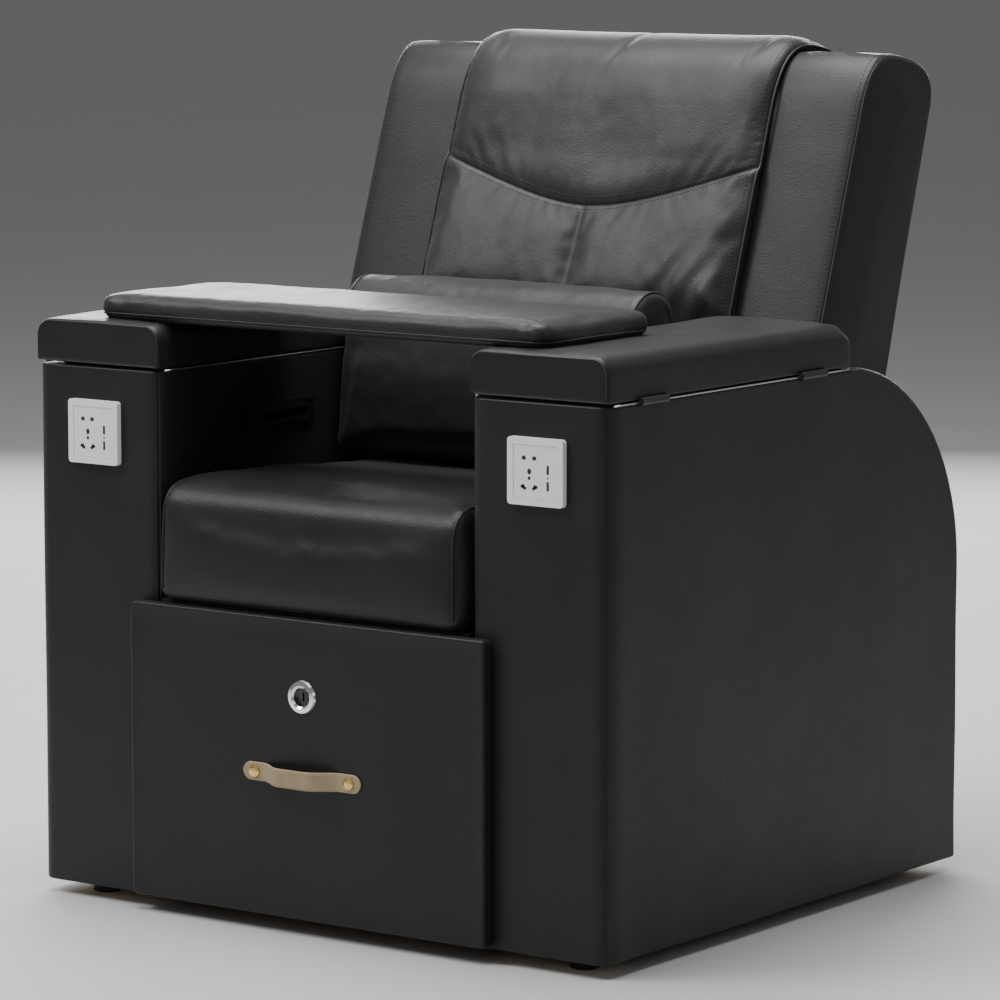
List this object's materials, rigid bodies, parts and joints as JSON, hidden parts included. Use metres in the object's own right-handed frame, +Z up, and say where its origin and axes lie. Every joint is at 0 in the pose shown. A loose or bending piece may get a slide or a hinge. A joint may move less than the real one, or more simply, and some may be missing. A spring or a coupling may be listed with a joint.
{
  "type": "pedicure spa chair",
  "caption": "Upholstered pedicure chair: hollow arms with hinged padded lids, reclining back with draped pad, loose padded board across the arms, lockable drawer under the seat.",
  "frame": {"origin": "on the floor, under the centre of the chair's box: midway between the arms and midway from the strap handle to the back pad's tail", "axes": "+Z up, +X to the sitter's left hand, which is the viewer's right from the front, -Y is the front where the drawer opens"},
  "size_m": [0.9564, 0.9458, 1.1654],
  "materials": {
    "black_leather": "satin",
    "plywood": "satin",
    "black_steel": "satin",
    "zinc_steel": "satin",
    "chrome": "polished",
    "brass": "satin",
    "strap_leather": "matte",
    "socket_plastic": "satin",
    "black_plastic": "satin",
    "cable_rubber": "matte",
    "foot_rubber": "matte"
  },
  "bodies": {
    "base": {"left_arm_carcass": "black_leather", "right_arm_carcass": "black_leather", "left_front_foot": "foot_rubber", "left_back_foot": "foot_rubber", "right_front_foot": "foot_rubber", "right_back_foot": "foot_rubber", "seat_deck": "plywood", "front_rail": "plywood", "rear_panel": "black_leather", "lock_strike": "zinc_steel", "rear_cross_member": "black_steel", "left_pivot_bracket": "black_steel", "right_pivot_bracket": "black_steel", "seat_cushion": "black_leather", "left_socket_plate": "socket_plastic", "left_socket_module": "socket_plastic", "right_socket_plate": "socket_plastic", "right_socket_module": "socket_plastic", "mains_inlet": "black_plastic", "left_socket_cable": "cable_rubber", "right_socket_cable": "cable_rubber", "release_cable": "cable_rubber", "recline_bezel": "black_plastic", "left_front_hinge_fixed_leaf": "black_steel", "left_rear_hinge_fixed_leaf": "black_steel", "right_front_hinge_fixed_leaf": "black_steel", "right_rear_hinge_fixed_leaf": "black_steel", "left_outer_runner": "zinc_steel", "right_outer_runner": "zinc_steel", "gas_cylinder": "black_steel"},
    "backrest": {"backrest_frame": "black_steel", "back_core": "black_leather", "back_rear_cover": "black_leather", "lumbar_cushion": "black_leather", "back_pad": "black_leather"},
    "gas_rod": {"gas_rod": "chrome"},
    "release_paddle": {"recline_paddle": "black_plastic"},
    "left_lid": {"left_lid_board": "plywood", "left_lid_pad": "black_leather", "left_front_hinge_moving_leaf": "black_steel", "left_rear_hinge_moving_leaf": "black_steel"},
    "right_lid": {"right_lid_board": "plywood", "right_lid_pad": "black_leather", "right_front_hinge_moving_leaf": "black_steel", "right_rear_hinge_moving_leaf": "black_steel"},
    "board": {"board_core": "plywood", "board_pad": "black_leather"},
    "drawer": {"drawer_front": "black_leather", "drawer_box": "plywood", "lock_housing": "chrome", "strap_handle": "strap_leather", "left_strap_stud": "brass", "right_strap_stud": "brass", "left_inner_runner": "zinc_steel", "right_inner_runner": "zinc_steel"},
    "runner_middle": {"left_middle_runner": "zinc_steel", "right_middle_runner": "zinc_steel"},
    "lock_plug": {"lock_plug": "chrome"}
  },
  "joints": [
    {"name": "backrest_recline", "type": "hinge", "parent": "base", "child": "backrest", "pos_m": [0, 0.127, 0.431], "axis": [-1, 0, 0], "range_deg": [0, 45]},
    {"name": "gas_rod_slide", "type": "slide", "parent": "base", "child": "gas_rod", "axis": [0, 0, -1], "range_m": [0, 0.0614]},
    {"name": "drawer_slide", "type": "slide", "parent": "base", "child": "drawer", "axis": [0, -1, 0], "range_m": [0, 0.415]},
    {"name": "runner_slide", "type": "slide", "parent": "base", "child": "runner_middle", "axis": [0, -1, 0], "range_m": [0, 0.2076]},
    {"name": "lock_turn", "type": "hinge", "parent": "drawer", "child": "lock_plug", "pos_m": [0, -0.428, 0.319], "axis": [0, -1, 0], "range_deg": [0, 90]},
    {"name": "release_pull", "type": "hinge", "parent": "base", "child": "release_paddle", "pos_m": [-0.257, -0.235, 0.6485], "axis": [0, 0, -1], "range_deg": [0, 22], "stiffness_Nm_per_rad": 0.4, "springref_deg": -11.46},
    {"name": "left_lid_hinge", "type": "hinge", "parent": "base", "child": "left_lid", "pos_m": [-0.4728, 0, 0.7298], "axis": [0, -1, 0], "range_deg": [0, 100]},
    {"name": "right_lid_hinge", "type": "hinge", "parent": "base", "child": "right_lid", "pos_m": [0.4728, 0, 0.7298], "axis": [0, 1, 0], "range_deg": [0, 100]},
    {"name": "board_lift", "type": "slide", "parent": "base", "child": "board", "axis": [0, 0, 1], "range_m": [0, 0.42]}
  ],
  "couplings": [
    {"joint": "gas_rod_slide", "follows": "backrest_recline", "m_per_rad": 0.07796},
    {"joint": "runner_slide", "follows": "drawer_slide", "ratio": 0.5},
    {"joint": "right_lid_hinge", "follows": "left_lid_hinge", "ratio": 1},
    {"joint": "board_lift", "follows": "left_lid_hinge", "m_per_rad": 0.235}
  ]
}
